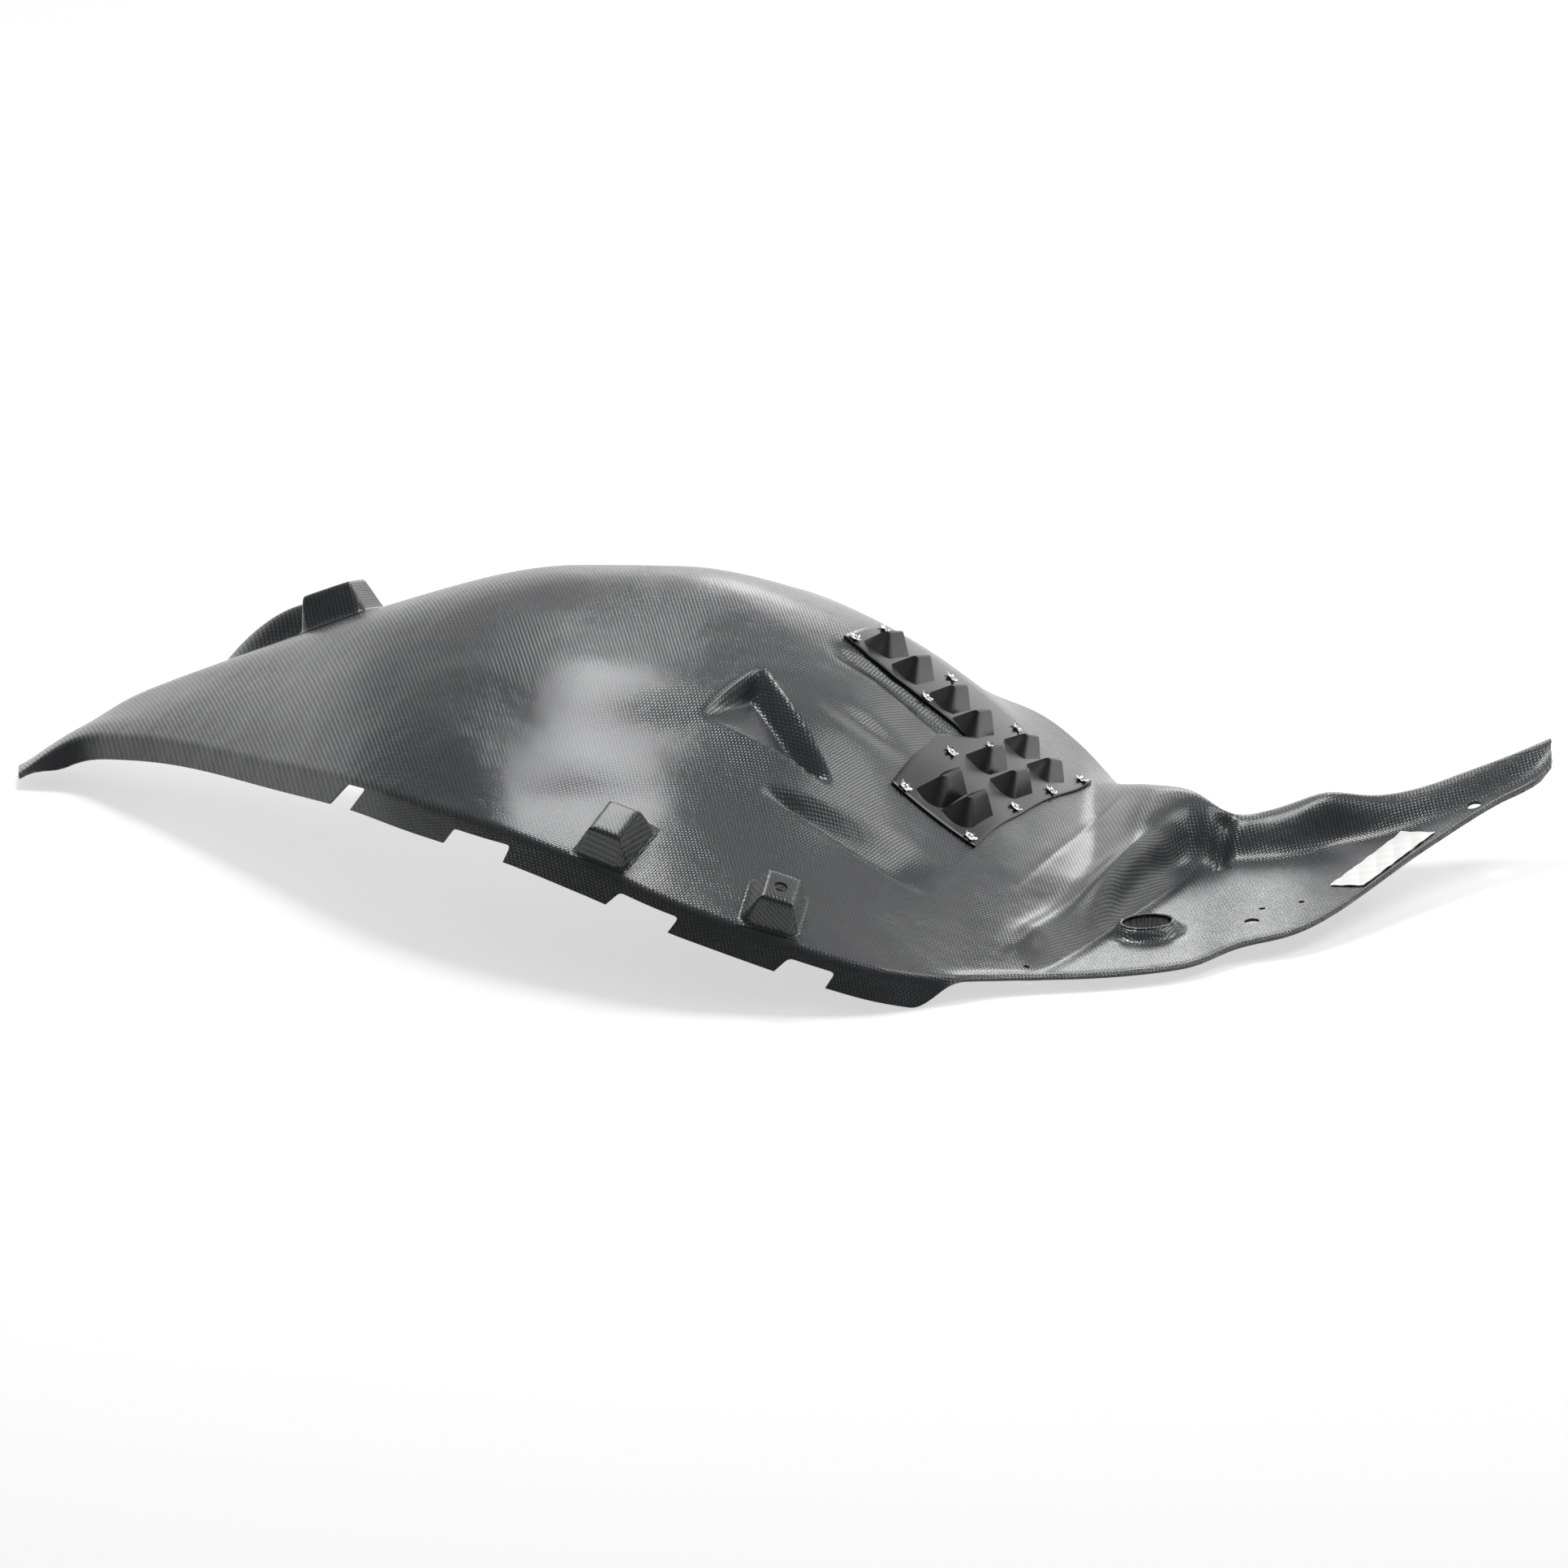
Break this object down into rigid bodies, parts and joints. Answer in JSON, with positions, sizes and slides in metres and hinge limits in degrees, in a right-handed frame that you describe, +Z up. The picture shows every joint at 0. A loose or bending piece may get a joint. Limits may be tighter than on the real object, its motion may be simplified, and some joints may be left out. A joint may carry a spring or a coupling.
{
  "type": "wheel arch liner",
  "caption": "Thermoformed wheel arch liner: a domed dark sheet with a tabbed edge skirt, pressed fixing bosses, a formed tray end with an oval port, and a riveted louvre plate.",
  "frame": {"origin": "middle of the length and width, level with the lowest point", "axes": "+X along the liner from the pointed end to the tray end, +Y from the tabbed edge to the far edge, +Z up"},
  "size_m": [1.199, 0.6328, 0.2263],
  "materials": {
    "liner_sheet": "satin charcoal plastic with a fine woven grain",
    "vent_plastic": "smooth satin black plastic",
    "rivet_metal": "bright bare aluminium",
    "label_film": "white label film, slightly creased"
  },
  "bodies": {
    "root": {"liner": "liner_sheet", "vent_plate": "vent_plastic", "vent_rivets": "rivet_metal", "blank_label": "label_film"}
  },
  "joints": []
}
